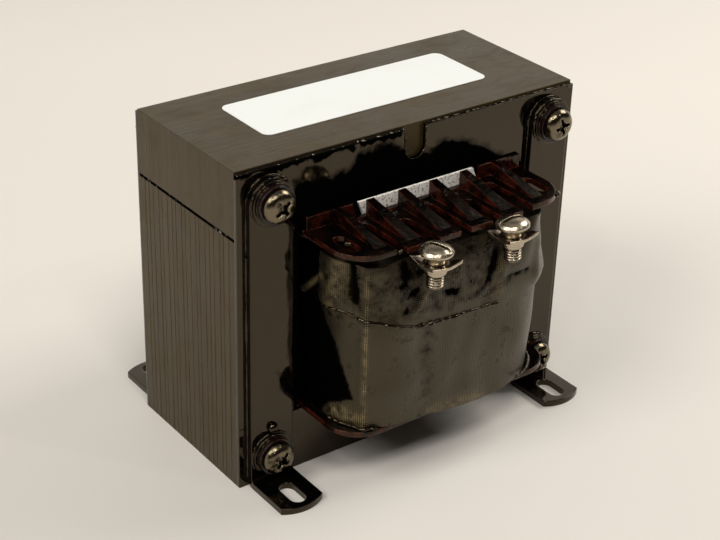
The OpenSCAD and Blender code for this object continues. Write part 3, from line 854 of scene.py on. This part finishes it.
def wrap_lift(a, z):
    """The wrap lies as deep as the band is thick, and stands off the right corner higher up."""
    return -BAND_T + 1.1 * smooth((z - 28) / 18) * right_corner(a)


def band_low(a):
    """The band's lower edge, a little ragged."""
    return between(BAND_EDGE, a) + 0.18 * wobble(a / 3, 7, 2)


def band_high(a):
    """The band's upper edge, a little ragged."""
    return TAPE_TOP + 0.25 * wobble(a / 6, 1, 4)


def band_lift(a, z):
    """The band lies just proud of the coil, and stands well off its right corner."""
    return 0.15 + between(CORNER_BULGE, z) * right_corner(a)


def wrap_coil():
    """The tape wrap and the band over its upper half, in place of the plain solids."""
    material = woven_tape()
    wrap = build_tape("tape_wrap", WRAP_ROWS, wrap_low, wrap_high, wrap_lift, WRAP_T, TAPE_FOLD)
    band = build_tape("tape_band", BAND_ROWS, band_low, band_high, band_lift, BAND_T)
    for piece, node in ((wrap, "coil_wrap"), (band, "coil_band")):
        piece.data.materials.append(material)
        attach(piece, "root")
        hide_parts(node)


# Varnish that has run and set

# Distance between the points along a run, and the angle in degrees between those round an arc
STEP = 0.45
TURN = 6

# Single lumps: from (x, y, z) to (x, y, z), radius and seed
LUMPS = [
    ((-46.6, -27.6, 93.6), (-43.0, -27.6, 91.8), 1.1, 51),
    ((-49.0, -27.6, 17.3), (-46.0, -27.6, 18.6), 1.2, 52),
    ((24.5, -26.1, 77.95), (37.4, -26.1, 77.95), 0.45, 53),
    ((-36.0, -26.1, 77.95), (-24.0, -26.1, 77.95), 0.3, 54),
    ((54.6, -25.7, 95.0), (56.6, -25.2, 94.6), 0.7, 55),
    ((34.9, -45.7, 74.0), (36.5, -44.1, 74.0), 0.8, 56),
    ((-20.6, -26.6, 73.6), (-19.0, -26.6, 73.6), 0.5, 57),
    ((-21.8, -46.8, 73.2), (-19.8, -46.9, 73.2), 0.6, 58),
    ((20.8, -50.0, 21.5), (26.5, -47.8, 21.5), 0.8, 59),
    ((-31.0, -35.5, 73.6), (-28.6, -38.0, 73.6), 0.7, 60),
]

# The ledge is filled from its left end to the notch, and has a thin bead from there to its right end
LEDGE_FILL = (-56.9, -3.7)
LEDGE_BEAD = (3.9, 56.7)


def join_sections(solid, sections, flip=False):
    """Adds a closed form to a solid's (points, faces), through sections with as many points each."""
    points, faces = solid
    start, sides = len(points), len(sections[0])
    for section in sections:
        points.extend(section)
    for i in range(len(sections) - 1):
        for k in range(sides):
            p, q = start + i * sides + k, start + i * sides + (k + 1) % sides
            if flip:
                p, q = q, p
            faces.append((p, q, q + sides, p + sides))
    low = tuple(start + k for k in range(sides))
    high = tuple(k + (len(sections) - 1) * sides for k in low)
    faces.append(low if flip else low[::-1])
    faces.append(high[::-1] if flip else high)


def bead(solid, path, radius, seed, sides=8):
    """A lumpy run of varnish along a path of (x, y, z) in millimetres."""
    sections = []
    for i, p in enumerate(path):
        along = (path[min(i + 1, len(path) - 1)] - path[max(i - 1, 0)]).normalized()
        u = along.orthogonal().normalized()
        if abs(along.z) < 0.9:
            u = along.cross(Vector((0, 0, 1))).normalized()
        v = along.cross(u)
        slow = wobble(p.x / 9, p.y / 9, p.z / 9 + seed)
        fast = wobble(p.x / 1.1, p.y / 1.1, p.z / 1.1 + seed)
        r = radius * max(0.75 + 0.75 * slow + 0.7 * fast, 0.12)
        if i in (0, len(path) - 1):
            r *= 0.1
        turns = [2 * math.pi * k / sides for k in range(sides)]
        sections.append([p + r * (math.cos(t) * u + math.sin(t) * v) for t in turns])
    join_sections(solid, sections)


def fill_ledge(solid, x0, x1):
    """Varnish that has collected on the ledge above the reversed sheet, sloping and a little lumpy."""
    sections = []
    count = int((x1 - x0) / STEP)
    back, front, low = -PACK_Y + 0.1, -FACE_Y + 0.1, LEDGE_Z - 0.1
    for i in range(count + 1):
        x = x0 + (x1 - x0) * i / count
        level = CORE_H - 0.12 - 0.25 * (0.5 + wobble(x / 8, 0, 3))
        section = [Vector((x, back, low))]
        for t in (0, 1 / 3, 2 / 3, 1):
            lump = 0.30 * wobble(x / 0.8, 5 * t, 6) * math.sin(math.pi * t)
            z = level + (LEDGE_Z + 0.06 - level) * t + lump
            section.append(Vector((x, back + (front - back) * t, z)))
        section.append(Vector((x, front, low)))
        sections.append(section)
    join_sections(solid, sections, flip=True)


def straight(p, q):
    p, q = Vector(p), Vector(q)
    count = max(int((q - p).length / STEP), 2)
    return [p.lerp(q, i / count) for i in range(count + 1)]


def arc(x, y, z, radius, start=0, end=360 - TURN):
    """Part of a circle in a plane of constant y, by angles in degrees from +X towards +Z."""
    count = max(int(abs(end - start) / TURN), 2)
    turn = [math.radians(start + (end - start) * i / count) for i in range(count + 1)]
    return [Vector((x + radius * math.cos(t), y, z + radius * math.sin(t))) for t in turn]


def along_coil(a0, a1, height, lift, step=STEP):
    count = int(abs(a1 - a0) / step)
    places = [a0 + (a1 - a0) * i / count for i in range(count + 1)]
    return [tape_point(a, height(a), lift) for a in places]


def seal_notch(solid):
    """A thin bead round the notch in the front sheet."""
    y, top = -FACE_Y - 0.05, LEDGE_Z - 0.4
    path = straight((-NOTCH_R, y, top), (-NOTCH_R, y, NOTCH_Z))
    path += arc(0, y, NOTCH_Z, NOTCH_R, 180 + TURN, 360 - TURN)
    path += straight((NOTCH_R, y, NOTCH_Z), (NOTCH_R, y, top))
    bead(solid, path, radius=0.25, seed=3)


def seal_straps(solid):
    """Beads along each strap's edge and round its washers, at the front and the rear."""
    half = STRAP_W / 2 + 0.1
    for end, y in enumerate((-FACE_Y - 0.1, FACE_Y + 0.1)):
        for side in (-1, 1):
            x = side * HOLE_X
            path = straight((x + half, y, STRAP_LOW), (x + half, y, HOLE_HIGH))
            path += arc(x, y, HOLE_HIGH, half, TURN, 180 - TURN)
            path += straight((x - half, y, HOLE_HIGH), (x - half, y, STRAP_LOW))
            bead(solid, path, radius=0.42, seed=10 + 2 * end + side)
            for z in (HOLE_LOW, HOLE_HIGH):
                front = y + math.copysign(STRAP_T, y)
                ring = arc(x, front, z, FLAT_WASHER_R + 0.05)
                bead(solid, ring, radius=0.5, seed=20 + z + side)
                front += math.copysign(FLAT_WASHER_T, y)
                ring = arc(x, front, z, FIBRE_WASHER_R + 0.05)
                bead(solid, ring, radius=0.3, seed=30 + z + side)


def seal_coil(solid):
    """Beads along the overlap of the tape and where the coil meets its lower flange."""
    overlap = along_coil(-48, 12, lambda a: band_low(a) - 0.1, lift=0.05, step=0.3)
    bead(solid, overlap, radius=0.55, seed=40)
    thick_overlap = along_coil(-17, -2, lambda a: band_low(a) - 0.2, lift=0.1)
    bead(solid, thick_overlap, radius=0.75, seed=43)
    left_seat = along_coil(-50, -27, lambda a: COIL_BOTTOM + 0.3, lift=0.3)
    bead(solid, left_seat, radius=0.55, seed=41)
    right_seat = along_coil(27, 46, lambda a: COIL_BOTTOM + 0.5, lift=0.3)
    bead(solid, right_seat, radius=0.6, seed=42)


def run_varnish():
    """All runs and lumps of set varnish, kept within the core's width and height."""
    solid = ([], [])
    fill_ledge(solid, *LEDGE_FILL)
    left, right = (Vector((x, -PACK_Y - 0.4, LEDGE_Z)) for x in LEDGE_BEAD)
    bead(solid, straight(left, right), radius=0.3, seed=2)
    seal_notch(solid)
    seal_straps(solid)
    for start, end, radius, seed in LUMPS:
        bead(solid, straight(start, end), radius, seed)
    seal_coil(solid)
    points, faces = solid
    for point in points:
        point.x = clamp(point.x, -CORE_W / 2, CORE_W / 2)
        point.z = clamp(point.z, 0.0, CORE_H)
    piece = new_object("varnish_runs", points, faces)
    smooth_faces(piece.data)
    piece.data.materials.append(black_varnish("run_varnish", roughness=0.03, radius=0.1, waviness=0.1))
    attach(piece, "root")


def fill_lines(material):
    """Varnish that has half filled the lines down both side faces, here more and there less."""
    solid = ([], [])
    steps = 90
    low, high = 0.05, E_H - 0.05
    half = LINE_W / 2 + 0.02
    thick = 0.1
    for i in range(LINE_COUNT):
        y = (i - (LINE_COUNT - 1) / 2) * LINE_PITCH + LINE_JITTER * math.sin(math.radians(i * LINE_TURN))
        for side in (-1, 1):
            sections = []
            for k in range(steps + 1):
                z = low + (high - low) * k / steps
                depth = 0.035 + 0.05 * wobble(i * 3.1, side, z / 14) + 0.02 * wobble(i, side, z / 2)
                x = CORE_W / 2 - clamp(depth, 0.008, 0.09)
                corners = ((x, -half), (x, half), (x - thick, half), (x - thick, -half))
                sections.append([(side * across, y + along, z) for across, along in corners])
            join_sections(solid, sections, flip=side < 0)
    piece = new_object("line_fill", *solid)
    piece.data.materials.append(material)
    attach(piece, "root")


# Floor and light

FLOOR_REACH = 3.0
FLOOR_DARK = (0.675, 0.648, 0.611)
FLOOR_PALE = (0.720, 0.693, 0.656)
FLOOR_FAR_LIT = (0.85, 0.815, 0.765)

# Painted light: the floor is paler away from the camera, for the fall of the light: this direction, and from
# and to this far along it
AWAY_X = 0.66
AWAY_Y = 0.75
AWAY_REACH = (-110, 260)

ROOM_DARK = (0.045, 0.04, 0.035)
ROOM_BRIGHT = (0.92, 0.87, 0.80)
BACKDROP = (0.885, 0.825, 0.755)

# Each lamp's name, place, size and power, in metres and watts
SOFT_LAMPS = [
    ("softbox_right", (1.0, -0.15, 0.9), (0.6, 0.6), 8.2),
    ("softbox_left", (-1.0, -0.1, 1.0), (0.6, 0.6), 8.2),
    ("fill_front", (-0.35, -0.75, 1.25), (0.5, 0.3), 7.4),
]
SPARK_LAMPS = [
    ("spark_left", (-0.55, -0.45, 0.80), (0.03, 0.03), 0.5),
    ("spark_right", (0.35, -0.60, 0.75), (0.03, 0.03), 0.4),
]
SOFT_COLOUR = (1.0, 0.96, 0.90)
SPARK_COLOUR = (1.0, 0.98, 0.95)
LAMPS_AIM = Vector((0, 0, 0.05))


def make_floor():
    mesh = bpy.data.meshes.new("floor")
    corners = ((-1, -1), (1, -1), (1, 1), (-1, 1))
    mesh.from_pydata([(x * FLOOR_REACH, y * FLOOR_REACH, 0) for x, y in corners], [], [(0, 1, 2, 3)])
    floor = bpy.data.objects.new("floor", mesh)
    bpy.context.scene.collection.objects.link(floor)
    material, nodes = new_material("floor_paper")
    where = nodes.coordinates()
    x, y, _ = nodes.split(where)
    away = nodes.plus(nodes.times(x, AWAY_X), nodes.times(y, AWAY_Y))
    tone = nodes.mix(nodes.noise(where, 0.01), FLOOR_DARK, FLOOR_PALE)
    # Painted light: paler away from the camera.
    colour = nodes.mix(nodes.ramp(away, *AWAY_REACH), tone, FLOOR_FAR_LIT)
    nodes.paint(Base_Color=colour, Roughness=0.6, Specular_IOR_Level=0.2)
    mesh.materials.append(material)


def make_world():
    """A room that is bright behind the part and overhead, dark in front, and plain to the camera."""
    world = bpy.data.worlds.new("world")
    bpy.context.scene.world = world
    world.use_nodes = True
    nodes = Nodes(world.node_tree)
    _, y, z = nodes.split(nodes.add("ShaderNodeTexCoord").outputs["Generated"])
    behind = nodes.ramp(y, -0.25, 0.35)
    low = nodes.ramp(z, 0.5, 0.72, 1.0, 0.08)
    overhead = nodes.ramp(z, 0.75, 0.95, 0.0, 0.24)
    colour = nodes.mix(nodes.most(nodes.times(behind, low), overhead), ROOM_DARK, ROOM_BRIGHT)
    seen = nodes.add("ShaderNodeLightPath").outputs["Is Camera Ray"]
    background = world.node_tree.nodes["Background"]
    nodes.join(nodes.mix(seen, colour, BACKDROP), background.inputs["Color"])
    background.inputs["Strength"].default_value = 1.0


def make_lamp(name, place, size, power, colour):
    data = bpy.data.lights.new(name, "AREA")
    data.shape = "RECTANGLE"
    data.size, data.size_y = size
    data.energy = power
    data.color = colour
    lamp = bpy.data.objects.new(name, data)
    lamp.location = place
    lamp.rotation_euler = (LAMPS_AIM - Vector(place)).to_track_quat("-Z", "Y").to_euler()
    bpy.context.scene.collection.objects.link(lamp)


def light_scene():
    make_floor()
    make_world()
    for lamp in SOFT_LAMPS:
        make_lamp(*lamp, SOFT_COLOUR)
    for lamp in SPARK_LAMPS:
        make_lamp(*lamp, SPARK_COLOUR)


make_camera()
core_material = dress_nodes()
wrap_coil()
run_varnish()
fill_lines(core_material)
light_scene()
bpy.context.scene.view_settings.view_transform = "Standard"
